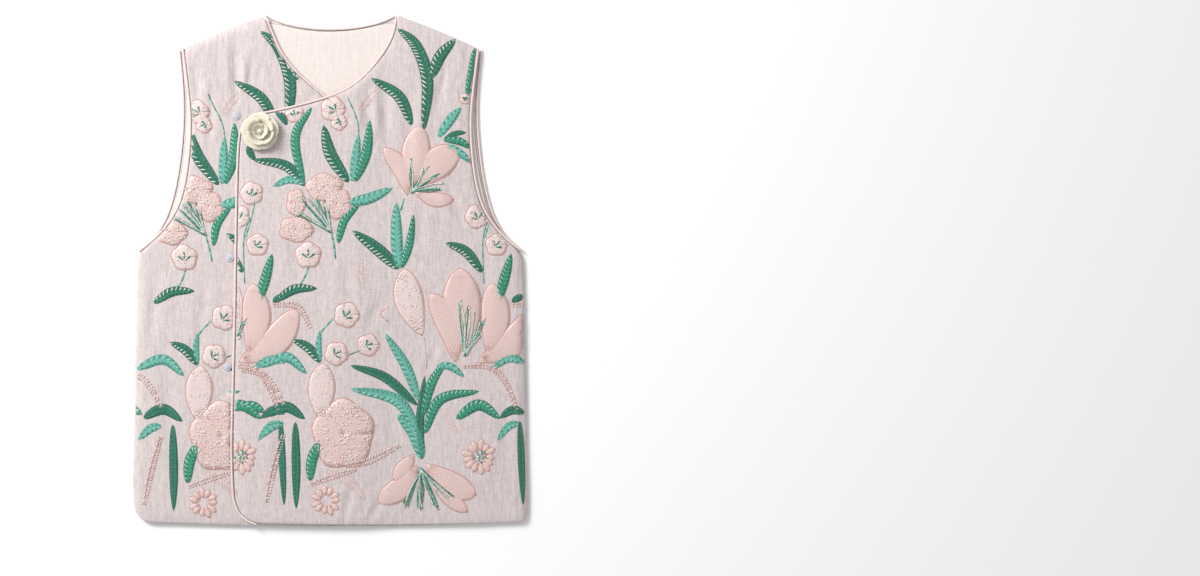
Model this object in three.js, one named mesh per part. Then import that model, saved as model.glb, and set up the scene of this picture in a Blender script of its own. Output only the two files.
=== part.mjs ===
// An embroidered waistcoat, lightly wadded, laid flat with its front up.
// Millimetres. +X is to the right as laid, +Y runs towards the neck, +Z is up.
// The origin lies on the resting plane under the middle of the garment.

import * as THREE from 'three';

// Driving dimensions
const LENGTH = 598;
const HEM_WIDTH = 460;
const CHEST_WIDTH = 450;
const NECK_WIDTH = 151;
const BACK_NECK_DROP = 16;
const ARMHOLE_DEPTH = 276;
const HEM_BOW = 5;
const SHOULDER_BOW = 1.5;
const CLOTH = 3;
const LINING = 1;
const LINING_INSET = 1;
const LAYER_GAP = 0.3;
const PIPING = 2.6;
const PIPING_GAP = 0.5;
const PIPING_STEP = 12;
const UNDERLAP_EDGE = 2;

// Levels of the stacked layers
const LINING_Z = CLOTH + LAYER_GAP;
const FRONT_Z = LINING_Z + LINING + LAYER_GAP;
const OVERLAP_STEP = CLOTH + LAYER_GAP;
const OVERLAP_RAMP = { from: 26, to: 66 };

const finish = (color, roughness, metalness = 0) =>
  new THREE.MeshStandardMaterial({ color, roughness, metalness });
const PINK_CLOTH = finish(0xe6d9d8, 0.9);
const CREAM_LINING = finish(0xf0e6da, 0.6);
const PIPING_SATIN = finish(0xeed9d6, 0.6);
const ROSE_CLOTH = finish(0xf4f0e2, 0.8);
const CLEAR_PLASTIC = finish(0xdcdcec, 0.2);

// ---- Outlines: distance out from the centre line and down from the neck points ----

const NECK_Y = LENGTH / 2;
const point = (out, down) => new THREE.Vector3(out, NECK_Y - down, 0);

function curveThrough(rows) {
  const points = rows.map(({ out, down }) => point(out, down));
  return new THREE.CatmullRomCurve3(points, false, 'centripetal');
}

const mirrored = (rows) => rows.map(({ out, down }) => ({ out: -out, down }));

// From the underarm up to the shoulder tip
const FRONT_ARMHOLE = [
  { out: CHEST_WIDTH / 2, down: ARMHOLE_DEPTH },
  { out: 211, down: 265 },
  { out: 196, down: 250 },
  { out: 181, down: 228 },
  { out: 172, down: 200 },
  { out: 166, down: 155 },
  { out: 165, down: 120 },
  { out: 170, down: 70 },
  { out: 174, down: 39 },
];
const BACK_ARMHOLE = [
  { out: CHEST_WIDTH / 2, down: ARMHOLE_DEPTH },
  { out: 214, down: 267 },
  { out: 203, down: 255 },
  { out: 190, down: 230 },
  { out: 180, down: 190 },
  { out: 174, down: 140 },
  { out: 173, down: 105 },
  { out: 175, down: 70 },
  { out: 178, down: 41 },
];

// From the hem corner up to the underarm; the hem corner is rounded
function sideSeam(corner) {
  const hem = HEM_WIDTH / 2;
  return [
    { out: hem - corner, down: LENGTH - HEM_BOW },
    { out: hem - corner * 0.3, down: LENGTH - HEM_BOW - corner * 0.3 },
    { out: hem, down: LENGTH - HEM_BOW - corner },
    { out: hem - 1, down: 480 },
    { out: hem - 2.6, down: 380 },
    { out: CHEST_WIDTH / 2, down: ARMHOLE_DEPTH },
  ];
}
const RIGHT_SIDE = mirrored(sideSeam(18));
const LEFT_SIDE = sideSeam(6);
const LEFT_SIDE_BACK = sideSeam(10);

const BACK_NECK = [
  { out: -NECK_WIDTH / 2, down: 0 },
  { out: -58, down: 8 },
  { out: -30, down: 14 },
  { out: 0, down: BACK_NECK_DROP },
  { out: 30, down: 14 },
  { out: 58, down: 8 },
  { out: NECK_WIDTH / 2, down: 0 },
];

// The overlap: bottom corner, front edge, top corner, slanted edge, then the neckline
const OVERLAP_EDGE = [
  { out: -86, down: 597 },
  { out: -97.5, down: 593 },
  { out: -108.5, down: 583 },
  { out: -114, down: 569 },
  { out: -116, down: 545 },
  { out: -117, down: 505 },
  { out: -115, down: 425 },
  { out: -113, down: 340 },
  { out: -111.5, down: 240 },
  { out: -109.5, down: 165 },
  { out: -107, down: 138 },
  { out: -103, down: 127 },
  { out: -96, down: 119.5 },
  { out: -85, down: 115 },
  { out: -66, down: 111.5 },
  { out: -26, down: 102 },
  { out: 0, down: 94 },
  { out: 14.5, down: 88 },
  { out: 29.5, down: 79 },
  { out: 43, down: 66 },
  { out: 55, down: 52 },
  { out: 67, down: 34 },
  { out: 74, down: 16 },
  { out: NECK_WIDTH / 2, down: 0 },
];

// The underlap's neckline, from the crossing up to the neck point
const UNDERLAP_NECK = [
  { out: UNDERLAP_EDGE, down: 101 },
  { out: -8, down: 92.5 },
  { out: -25.5, down: 78 },
  { out: -40.5, down: 64 },
  { out: -58.5, down: 40 },
  { out: -69, down: 15 },
  { out: -NECK_WIDTH / 2, down: 0 },
];

// A copy of a curve, moved to the left of its direction
function offset(curve, distance) {
  const steps = Math.ceil(curve.getLength() / 8);
  const points = [];
  for (let i = 0; i <= steps; i += 1) {
    const tangent = curve.getTangentAt(i / steps);
    const here = curve.getPointAt(i / steps);
    points.push(here.add(new THREE.Vector3(-tangent.y, tangent.x, 0).multiplyScalar(distance)));
  }
  return new THREE.CatmullRomCurve3(points, false, 'centripetal');
}

// Several curves end to end, with a short straight line where two ends differ
function chain(...curves) {
  const path = new THREE.CurvePath();
  let end = null;
  for (const curve of curves) {
    const start = curve.getPoint(0);
    if (end && end.distanceTo(start) > 0.01) path.add(new THREE.LineCurve3(end, start));
    path.add(curve);
    end = curve.getPoint(1);
  }
  return path;
}

// A nearly straight line that bows out by a given amount
function bowed(from, to, bow) {
  const middle = from.clone().add(to).multiplyScalar(0.5);
  const across = new THREE.Vector3(from.y - to.y, to.x - from.x, 0).normalize();
  return new THREE.QuadraticBezierCurve3(from, middle.addScaledVector(across, 2 * bow), to);
}

// ---- Walls: two grids of points closed by a rim ----

function closedWall(outer, inner) {
  const rows = outer.length;
  const columns = outer[0].length;
  const positions = [...outer.flat(), ...inner.flat()].flatMap((p) => [p.x, p.y, p.z]);
  const outerAt = (i, j) => i * columns + j;
  const innerAt = (i, j) => rows * columns + outerAt(i, j);
  const faces = [];
  const quad = (a, b, c, d) => faces.push(a, b, c, a, c, d);
  for (let i = 0; i < rows - 1; i += 1) {
    for (let j = 0; j < columns - 1; j += 1) {
      quad(outerAt(i, j), outerAt(i, j + 1), outerAt(i + 1, j + 1), outerAt(i + 1, j));
      quad(innerAt(i, j), innerAt(i + 1, j), innerAt(i + 1, j + 1), innerAt(i, j + 1));
    }
  }
  const last = columns - 1;
  const top = rows - 1;
  for (let i = 0; i < top; i += 1) {
    quad(outerAt(i, 0), outerAt(i + 1, 0), innerAt(i + 1, 0), innerAt(i, 0));
    quad(outerAt(i + 1, last), outerAt(i, last), innerAt(i, last), innerAt(i + 1, last));
  }
  for (let j = 0; j < last; j += 1) {
    quad(outerAt(0, j + 1), outerAt(0, j), innerAt(0, j), innerAt(0, j + 1));
    quad(outerAt(top, j), outerAt(top, j + 1), innerAt(top, j + 1), innerAt(top, j));
  }
  const geometry = new THREE.BufferGeometry();
  geometry.setAttribute('position', new THREE.Float32BufferAttribute(positions, 3));
  geometry.setIndex(faces);
  geometry.computeVertexNormals();
  return geometry;
}

// Fractions from 0 to 1, in stretches that each have their own spacing
function stations(stretches) {
  const list = [0];
  for (const { to, steps } of stretches) {
    const from = list[list.length - 1];
    for (let i = 1; i <= steps; i += 1) list.push(from + ((to - from) * i) / steps);
  }
  return list;
}

// A panel between four edges: left and right run up, bottom and top run to the right
function panelGrid(edges, rows, columns) {
  const lerp = (a, b, t) => a.clone().lerp(b, t);
  const low = [edges.left.getPoint(0), edges.right.getPoint(0)];
  const high = [edges.left.getPoint(1), edges.right.getPoint(1)];
  return rows.map((v) => columns.map((u) => {
    const along = lerp(edges.left.getPoint(v), edges.right.getPoint(v), u);
    const up = lerp(edges.bottom.getPoint(u), edges.top.getPoint(u), v);
    return along.add(up).sub(lerp(lerp(low[0], low[1], u), lerp(high[0], high[1], u), v));
  }));
}

// How near a grid point is to the panel's rim: 1 at the rim, 0 well inside
function rimNearness(grid, i, j, width) {
  const here = grid[i][j];
  const rims = [grid[i][0], grid[i][grid[i].length - 1], grid[0][j], grid[grid.length - 1][j]];
  const distance = Math.min(...rims.map((rim) => rim.distanceTo(here)));
  return (1 - Math.min(distance / width, 1)) ** 2;
}

// Broad soft folds: centre, length along the fold, direction, half width and height
function relief(folds, x, y) {
  let height = 0;
  for (const fold of folds) {
    const angle = THREE.MathUtils.degToRad(fold.angle);
    const dx = x - fold.x;
    const dy = y - fold.y;
    const along = (dx * Math.cos(angle) + dy * Math.sin(angle)) / (fold.length / 2);
    const across = (-dx * Math.sin(angle) + dy * Math.cos(angle)) / fold.width;
    height += fold.height * Math.exp(-along * along - across * across);
  }
  return height;
}

const RIM_ROLL = { width: 9, top: 0.9, under: 1.1 };

// A wall of cloth on a base level, with folds on its upper side and a rolled rim
function clothPanel({ edges, rows, columns, base, thickness, folds = [], rollTop = 0, rollUnder = 0 }) {
  const grid = panelGrid(edges, stations(rows), stations(columns));
  const lift = (point, i, j, level, roll, extra) =>
    new THREE.Vector3(point.x, point.y, level(point) + extra + roll * rimNearness(grid, i, j, RIM_ROLL.width));
  const upper = grid.map((row, i) => row.map((p, j) =>
    lift(p, i, j, base, -rollTop, thickness + relief(folds, p.x, p.y))));
  const lower = grid.map((row, i) => row.map((p, j) => lift(p, i, j, base, rollUnder, 0)));
  return closedWall(upper, lower);
}

// A round cord just outside a panel's rim, at mid-thickness
function pipingAlong(edge, outward, base) {
  const route = offset(edge, -outward * PIPING / 2);
  const steps = Math.ceil(route.getLength() / PIPING_STEP);
  const points = route.getSpacedPoints(steps).map((p) => new THREE.Vector3(p.x, p.y, base(p) + CLOTH / 2));
  const path = new THREE.CatmullRomCurve3(points, false, 'centripetal');
  const section = new THREE.Shape(new THREE.EllipseCurve(0, 0, PIPING / 2, PIPING / 2).getPoints(6).slice(0, 6));
  return new THREE.ExtrudeGeometry(section, { steps, extrudePath: path, bevelEnabled: false });
}

// ---- The garment ----

const waistcoat = new THREE.Group();

function add(name, geometry, material) {
  const mesh = new THREE.Mesh(geometry, material);
  mesh.name = name;
  waistcoat.add(mesh);
  return mesh;
}

const PIPED_INSET = PIPING + PIPING_GAP;
const flat = (level) => () => level;
const SIDE_COLUMNS = [{ to: 0.06, steps: 2 }, { to: 0.94, steps: 10 }, { to: 1, steps: 2 }];

// Back
const rightArmholeBack = curveThrough(mirrored(BACK_ARMHOLE));
const leftArmholeBack = curveThrough(BACK_ARMHOLE);
const backNeck = curveThrough(BACK_NECK);

function backEdges(inset) {
  const left = chain(
    offset(curveThrough(RIGHT_SIDE), -inset),
    offset(rightArmholeBack, -PIPED_INSET - inset),
  );
  const right = chain(
    offset(curveThrough(LEFT_SIDE_BACK), inset),
    offset(leftArmholeBack, PIPED_INSET + inset),
  );
  const neck = offset(backNeck, -PIPED_INSET - inset);
  const top = chain(
    bowed(left.getPoint(1), neck.getPoint(0), SHOULDER_BOW),
    neck,
    bowed(neck.getPoint(1), right.getPoint(1), SHOULDER_BOW),
  );
  return { left, right, top, bottom: bowed(left.getPoint(0), right.getPoint(0), inset - HEM_BOW) };
}

const BACK_ROWS = [{ to: 0.06, steps: 3 }, { to: 0.52, steps: 8 }, { to: 1, steps: 16 }];
const BACK_COLUMNS = [{ to: 0.03, steps: 2 }, { to: 0.97, steps: 16 }, { to: 1, steps: 2 }];

add('back', clothPanel({
  edges: backEdges(0),
  rows: BACK_ROWS,
  columns: BACK_COLUMNS,
  base: flat(0),
  thickness: CLOTH,
  rollUnder: RIM_ROLL.under,
}), PINK_CLOTH);

add('back_lining', clothPanel({
  edges: backEdges(LINING_INSET),
  rows: [{ to: 0.06, steps: 2 }, { to: 0.52, steps: 3 }, { to: 1, steps: 12 }],
  columns: [{ to: 1, steps: 10 }],
  base: flat(LINING_Z),
  thickness: LINING,
}), CREAM_LINING);

// Right front, the underlap
const rightArmholeFront = curveThrough(mirrored(FRONT_ARMHOLE));
const underlapNeck = curveThrough(UNDERLAP_NECK);
const UNDERLAP_FOLDS = [
  { x: -140, y: 200, length: 120, angle: 88, width: 14, height: 0.9 },
  { x: -160, y: 90, length: 150, angle: 95, width: 16, height: 0.7 },
  { x: -185, y: -60, length: 260, angle: 84, width: 24, height: 0.8 },
];

const underlapLeft = chain(curveThrough(RIGHT_SIDE), offset(rightArmholeFront, -PIPED_INSET));
const underlapNeckEdge = offset(underlapNeck, PIPED_INSET);
const underlapRight = chain(
  new THREE.LineCurve3(point(UNDERLAP_EDGE, LENGTH), underlapNeckEdge.getPoint(0)),
  underlapNeckEdge,
);

add('front_right', clothPanel({
  edges: {
    left: underlapLeft,
    right: underlapRight,
    top: bowed(underlapLeft.getPoint(1), underlapRight.getPoint(1), SHOULDER_BOW),
    bottom: bowed(underlapLeft.getPoint(0), underlapRight.getPoint(0), -1),
  },
  rows: [{ to: 0.06, steps: 3 }, { to: 0.52, steps: 7 }, { to: 1, steps: 17 }],
  columns: SIDE_COLUMNS,
  base: flat(FRONT_Z),
  thickness: CLOTH,
  folds: UNDERLAP_FOLDS,
  rollTop: RIM_ROLL.top,
}), PINK_CLOTH);

// Left front, the overlap: it lies on the underlap at its front edge and steps down past it
const leftArmholeFront = curveThrough(FRONT_ARMHOLE);
const overlapEdge = curveThrough(OVERLAP_EDGE);
const overlapBase = ({ x }) =>
  FRONT_Z + OVERLAP_STEP * (1 - THREE.MathUtils.smoothstep(x, OVERLAP_RAMP.from, OVERLAP_RAMP.to));
const OVERLAP_FOLDS = [
  { x: 44, y: 190, length: 120, angle: 96, width: 14, height: 0.9 },
  { x: 95, y: 205, length: 130, angle: 90, width: 16, height: 0.8 },
  { x: 150, y: 75, length: 110, angle: 130, width: 18, height: 0.8 },
  { x: 105, y: 50, length: 170, angle: 92, width: 20, height: 0.7 },
  { x: 55, y: -50, length: 130, angle: 60, width: 20, height: 0.7 },
  { x: 30, y: -240, length: 120, angle: 80, width: 22, height: 0.8 },
];

const overlapLeft = offset(overlapEdge, -PIPED_INSET);
const overlapRight = chain(curveThrough(LEFT_SIDE), offset(leftArmholeFront, PIPED_INSET));

add('front_left', clothPanel({
  edges: {
    left: overlapLeft,
    right: overlapRight,
    top: bowed(overlapLeft.getPoint(1), overlapRight.getPoint(1), SHOULDER_BOW),
    bottom: bowed(overlapLeft.getPoint(0), overlapRight.getPoint(0), -HEM_BOW / 2),
  },
  rows: [
    { to: 0.08, steps: 6 },
    { to: 0.5, steps: 6 },
    { to: 0.62, steps: 4 },
    { to: 0.69, steps: 6 },
    { to: 1, steps: 15 },
  ],
  columns: SIDE_COLUMNS,
  base: overlapBase,
  thickness: CLOTH,
  folds: OVERLAP_FOLDS,
  rollTop: RIM_ROLL.top,
}), PINK_CLOTH);

// Piping on the neck, the overlap's edge and both armholes
const PIPINGS = [
  { name: 'piping_back_neck', edge: backNeck, outward: 1, base: flat(0) },
  { name: 'piping_right_neck', edge: underlapNeck, outward: -1, base: flat(FRONT_Z) },
  { name: 'piping_front_edge', edge: overlapEdge, outward: 1, base: overlapBase },
  { name: 'piping_right_armhole_front', edge: rightArmholeFront, outward: 1, base: flat(FRONT_Z) },
  { name: 'piping_right_armhole_back', edge: rightArmholeBack, outward: 1, base: flat(0) },
  { name: 'piping_left_armhole_front', edge: leftArmholeFront, outward: -1, base: flat(FRONT_Z) },
  { name: 'piping_left_armhole_back', edge: leftArmholeBack, outward: -1, base: flat(0) },
];
for (const { name, edge, outward, base } of PIPINGS) {
  add(name, pipingAlong(edge, outward, base), PIPING_SATIN);
}

// Rose button: a base disc, rings of curved petals and a bud
const ROSE_CENTRE = point(-82, 137);
const ROSE_Z = FRONT_Z + OVERLAP_STEP + CLOTH + LAYER_GAP;
const ROSE_BASE = { radius: 17, height: 1.2 };
const PETAL_THICKNESS = 0.9;
const PETAL_STAGGER = 1.25;
const ROSE_RINGS = [
  { ring: 'outer', count: 5, turn: 100, spread: 50, foot: 9.5, reach: 22.5, z: 3.3, rise: 3.2, bend: 2.2 },
  { ring: 'middle', count: 4, turn: 60, spread: 60, foot: 9.4, reach: 17, z: 6.8, rise: 5.4, bend: 1.8 },
  { ring: 'inner', count: 3, turn: 20, spread: 78, foot: 5, reach: 9.6, z: 8.2, rise: 7, bend: 1.5 },
];
const PETAL_STEPS = { across: 6, up: 3 };

function petal({ spread, foot, reach, z, rise, bend }, middle) {
  const profile = (side, t) => {
    const tip = reach * (1 - 0.14 * side ** 4);
    return { r: foot + (tip - foot) * t, z: z + (rise * Math.sin(t * bend)) / Math.sin(Math.min(bend, 1.57)) };
  };
  const grid = (shift) => Array.from({ length: PETAL_STEPS.up + 1 }, (_, i) =>
    Array.from({ length: PETAL_STEPS.across + 1 }, (__, j) => {
      const t = i / PETAL_STEPS.up;
      const side = (2 * j) / PETAL_STEPS.across - 1;
      const here = profile(side, t);
      const next = profile(side, t + 0.01);
      const along = Math.hypot(next.r - here.r, next.z - here.z);
      const outward = shift + side * PETAL_STAGGER;
      const r = here.r + ((next.z - here.z) / along) * outward;
      const height = here.z - ((next.r - here.r) / along) * outward;
      const angle = THREE.MathUtils.degToRad(middle + side * spread);
      return new THREE.Vector3(r * Math.cos(angle), r * Math.sin(angle), height);
    }));
  return closedWall(grid(PETAL_THICKNESS / 2), grid(-PETAL_THICKNESS / 2));
}

const rose = new THREE.Group();
rose.position.set(ROSE_CENTRE.x, ROSE_CENTRE.y, ROSE_Z);
waistcoat.add(rose);

function addToRose(name, geometry) {
  rose.add(add(name, geometry, ROSE_CLOTH));
}

const baseDisc = new THREE.CylinderGeometry(ROSE_BASE.radius, ROSE_BASE.radius, ROSE_BASE.height, 24);
baseDisc.rotateX(Math.PI / 2).translate(0, 0, ROSE_BASE.height / 2);
addToRose('rose_base', baseDisc);
for (const ring of ROSE_RINGS) {
  for (let i = 0; i < ring.count; i += 1) {
    addToRose(`rose_${ring.ring}_petal_${i + 1}`, petal(ring, ring.turn + (360 * i) / ring.count));
  }
}
const BUD_PROFILE = [
  { r: 0, z: 1.6 },
  { r: 3, z: 1.6 },
  { r: 2.6, z: 5 },
  { r: 3, z: 10 },
  { r: 1.8, z: 13.6 },
  { r: 0, z: 14.4 },
];
const bud = new THREE.LatheGeometry(BUD_PROFILE.map(({ r, z }) => new THREE.Vector2(r, z)), 12);
bud.rotateX(Math.PI / 2);
addToRose('rose_bud', bud);

// Clear snap fasteners, showing beside the overlap's front edge
const SNAP = { radius: 5, rim: 1, height: 2.6, knob: 1.8 };
const SNAPS = [
  { name: 'snap_top', out: -110.5, down: 118.5 },
  { name: 'snap_middle', out: -117.9, down: 284 },
  { name: 'snap_bottom', out: -120.4, down: 411 },
];
const snapProfile = [
  { r: 0, z: 0 },
  { r: SNAP.radius * 0.9, z: 0 },
  { r: SNAP.radius, z: SNAP.rim * 0.5 },
  { r: SNAP.radius * 0.9, z: SNAP.rim },
  { r: SNAP.knob * 1.3, z: SNAP.rim * 1.3 },
  { r: SNAP.knob, z: SNAP.height * 0.85 },
  { r: 0, z: SNAP.height },
];
for (const { name, out, down } of SNAPS) {
  const geometry = new THREE.LatheGeometry(snapProfile.map(({ r, z }) => new THREE.Vector2(r, z)), 16);
  geometry.rotateX(Math.PI / 2);
  const snap = add(name, geometry, CLEAR_PLASTIC);
  snap.position.copy(point(out, down)).setZ(FRONT_Z + CLOTH + LAYER_GAP);
}

export default waistcoat;
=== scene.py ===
import math
import random

import bmesh
import bpy
import numpy as np
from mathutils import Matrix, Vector, noise
from mathutils.bvhtree import BVHTree


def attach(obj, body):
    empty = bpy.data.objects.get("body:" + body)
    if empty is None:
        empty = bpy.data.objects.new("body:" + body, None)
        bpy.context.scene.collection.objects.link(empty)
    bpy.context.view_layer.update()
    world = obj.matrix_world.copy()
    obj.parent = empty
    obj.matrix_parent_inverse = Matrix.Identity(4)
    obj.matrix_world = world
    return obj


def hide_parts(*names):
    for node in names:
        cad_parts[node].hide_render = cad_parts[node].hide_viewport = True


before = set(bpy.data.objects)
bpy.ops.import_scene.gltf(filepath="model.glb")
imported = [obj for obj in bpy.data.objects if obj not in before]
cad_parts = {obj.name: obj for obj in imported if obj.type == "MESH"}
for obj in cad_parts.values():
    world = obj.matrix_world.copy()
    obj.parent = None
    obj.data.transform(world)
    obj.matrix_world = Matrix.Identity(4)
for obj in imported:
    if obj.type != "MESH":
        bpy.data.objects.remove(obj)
bpy.ops.object.select_all(action="DESELECT")
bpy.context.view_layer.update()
random.seed(17)

# ---------------------------------------------------------------- Camera and resting surface
# The waistcoat lies on a plain white table and is seen from straight above. The picture is wide and the
# garment fills its left part, so the lens is shifted sideways.

VIEW_WIDTH = 1.404
LENS_MM = 85
SENSOR_MM = 36

camera_data = bpy.data.cameras.new("camera")
camera_data.lens = LENS_MM
camera_data.sensor_width = SENSOR_MM
camera_data.shift_x = 0.2246
camera_data.shift_y = -0.0146
camera = bpy.data.objects.new("camera", camera_data)
camera.location = (0, 0, VIEW_WIDTH * LENS_MM / SENSOR_MM)
bpy.context.collection.objects.link(camera)
bpy.context.scene.camera = camera

FLOOR_SIZE = 9.0
bpy.ops.mesh.primitive_plane_add(size=FLOOR_SIZE, location=(0, 0, 0))
table = bpy.context.object
table.name = "table_top"
table_paint = bpy.data.materials.new("white_table")
table_paint.use_nodes = True
table_shader = table_paint.node_tree.nodes["Principled BSDF"]
table_shader.inputs["Base Color"].default_value = (0.92, 0.92, 0.92, 1)
table_shader.inputs["Roughness"].default_value = 0.9
table.data.materials.append(table_paint)

# ---------------------------------------------------------------- Back and front panels
# Lightly wadded panels of crinkled linen, cut in three pieces and bagged out with their linings. The cloth
# falls in soft upright folds and puckers a little round the embroidery.

MM = 0.001
PANEL_LEVELS = 3
SEAM_REACH = 11 * MM
SEAM_CLOSE = 1.9 * MM
UNDERSIDE_RISE = 0.9 * MM
HEM_HALF = 230 * MM
CHEST_HALF = 225 * MM
UNDERARM_Y = 21 * MM
HEM_Y = -294 * MM
NECK_POINT = Vector((76, 299)) * MM
SHOULDER_TIP = Vector((176, 259)) * MM

# Upright and slanted creases of the fronts, in millimetres: middle, length, direction, half width, depth
FRONT_CREASES = [
    dict(x=-111, y=229, length=80, angle=91, width=5, depth=1.5),
    dict(x=-93, y=224, length=66, angle=88, width=4, depth=1.2),
    dict(x=-84, y=222, length=52, angle=84, width=3.5, depth=0.9),
    dict(x=-157, y=224, length=70, angle=93, width=5, depth=1.2),
    dict(x=-140, y=180, length=90, angle=86, width=4, depth=0.9),
    dict(x=40, y=188, length=60, angle=98, width=4, depth=1.5),
    dict(x=46, y=190, length=74, angle=92, width=3.5, depth=1.3),
    dict(x=64, y=182, length=90, angle=90, width=5, depth=1.2),
    dict(x=93, y=180, length=110, angle=88, width=6, depth=1.1),
    dict(x=130, y=215, length=70, angle=80, width=4.5, depth=1.0),
    dict(x=146, y=74, length=52, angle=118, width=5, depth=1.3),
    dict(x=105, y=47, length=84, angle=92, width=6, depth=1.0),
    dict(x=51, y=-52, length=56, angle=62, width=5, depth=1.2),
    dict(x=116, y=-108, length=64, angle=70, width=4, depth=1.1),
    dict(x=124, y=-118, length=44, angle=58, width=3.5, depth=0.9),
    dict(x=-122, y=-142, length=34, angle=24, width=3, depth=1.4),
    dict(x=-128, y=-150, length=30, angle=38, width=2.5, depth=1.1),
    dict(x=-150, y=-60, length=120, angle=86, width=6, depth=0.9),
    dict(x=-190, y=-150, length=150, angle=92, width=7, depth=0.9),
    dict(x=-205, y=-40, length=90, angle=84, width=5, depth=0.8),
    dict(x=20, y=-274, length=56, angle=78, width=4, depth=1.3),
    dict(x=52, y=-279, length=46, angle=66, width=3.5, depth=1.1),
    dict(x=-40, y=20, length=120, angle=92, width=7, depth=0.8),
    dict(x=20, y=-20, length=110, angle=95, width=6, depth=0.8),
    dict(x=180, y=-20, length=120, angle=88, width=7, depth=0.9),
    dict(x=203, y=-190, length=130, angle=92, width=6, depth=0.9),
    dict(x=70, y=-170, length=100, angle=99, width=6, depth=0.8),
    dict(x=-60, y=-210, length=110, angle=84, width=6, depth=0.8),
]
BACK_CREASES = [
    dict(x=-128, y=208, length=96, angle=86, width=5, depth=0.9),
    dict(x=-96, y=214, length=70, angle=92, width=4, depth=0.8),
    dict(x=-30, y=205, length=90, angle=95, width=5, depth=0.7),
    dict(x=42, y=214, length=84, angle=87, width=4.5, depth=0.8),
    dict(x=110, y=206, length=100, angle=93, width=5, depth=0.9),
    dict(x=150, y=60, length=90, angle=72, width=6, depth=0.8),
    dict(x=-150, y=56, length=84, angle=106, width=6, depth=0.8),
    dict(x=12, y=20, length=150, angle=89, width=7, depth=0.7),
    dict(x=-74, y=-70, length=130, angle=93, width=7, depth=0.7),
    dict(x=96, y=-90, length=140, angle=86, width=7, depth=0.7),
    dict(x=176, y=-170, length=110, angle=90, width=6, depth=0.8),
    dict(x=-186, y=-180, length=120, angle=87, width=6, depth=0.8),
    dict(x=-20, y=-262, length=60, angle=80, width=4, depth=0.9),
    dict(x=66, y=-268, length=52, angle=98, width=4, depth=0.9),
]


def smoothed_copy(node, name, levels):
    """A welded copy of a CAD piece, its triangles paired into quads and smoothed."""
    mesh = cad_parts[node].data.copy()
    mesh.materials.clear()
    shell = bmesh.new()
    shell.from_mesh(mesh)
    bmesh.ops.remove_doubles(shell, verts=shell.verts[:], dist=0.00001)
    bmesh.ops.join_triangles(
        shell, faces=shell.faces[:], angle_face_threshold=1.0, angle_shape_threshold=1.5
    )
    shell.to_mesh(mesh)
    shell.free()
    piece = bpy.data.objects.new(name, mesh)
    bpy.context.collection.objects.link(piece)
    bpy.context.view_layer.objects.active = piece
    smooth = piece.modifiers.new("smooth", "SUBSURF")
    smooth.levels = levels
    smooth.render_levels = levels
    bpy.ops.object.modifier_apply(modifier=smooth.name)
    for face in piece.data.polygons:
        face.use_smooth = True
    return piece


def read_points(piece):
    """The piece's points and its normals, as two arrays."""
    count = len(piece.data.vertices)
    points = np.empty(count * 3)
    normals = np.empty(count * 3)
    piece.data.vertices.foreach_get("co", points)
    piece.data.vertex_normals.foreach_get("vector", normals)
    return points.reshape(-1, 3), normals.reshape(-1, 3)


def write_points(piece, points):
    piece.data.vertices.foreach_set("co", points.ravel())
    piece.data.update()


def crease_heights(points, creases):
    """Soft troughs with a low ridge on each side, fading out at their ends."""
    height = np.zeros(len(points))
    for crease in creases:
        turn = math.radians(crease["angle"])
        dx = points[:, 0] / MM - crease["x"]
        dy = points[:, 1] / MM - crease["y"]
        along = (dx * math.cos(turn) + dy * math.sin(turn)) / (crease["length"] / 2)
        across = (dy * math.cos(turn) - dx * math.sin(turn)) / crease["width"]
        fade = np.clip(1 - along**2, 0, 1) ** 1.5
        shape = -np.exp(-(across**2)) + 0.5 * np.exp(-((np.abs(across) - 2.1) ** 2))
        height += crease["depth"] * MM * fade * shape
    return height


def crinkle_heights(points, seed):
    """Uneven upright crinkles: broad, middling and fine."""
    scales = ((60, 120, 0.8), (15, 70, 0.42), (6, 24, 0.2))
    heights = np.zeros(len(points))
    for i, (x, y, _) in enumerate(points / MM):
        heights[i] = sum(
            size * noise.noise((x / wide + seed, y / tall, seed * 3.1)) for wide, tall, size in scales
        )
    return heights * MM


def seam_distance(points):
    """How far each point is from the side seams and the shoulder seams."""
    x = np.abs(points[:, 0])
    y = points[:, 1]
    rise = np.clip((y - HEM_Y) / (UNDERARM_Y - HEM_Y), 0, 1)
    side = np.where(y < UNDERARM_Y + 4 * MM, HEM_HALF + (CHEST_HALF - HEM_HALF) * rise - x, 1.0)
    run = SHOULDER_TIP - NECK_POINT
    shoulder = ((NECK_POINT.y - y) * run.x - (NECK_POINT.x - x) * run.y) / run.length
    shoulder = np.where(x > NECK_POINT.x - 8 * MM, shoulder, 1.0)
    return np.clip(np.minimum(side, shoulder), 0, 1)


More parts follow.
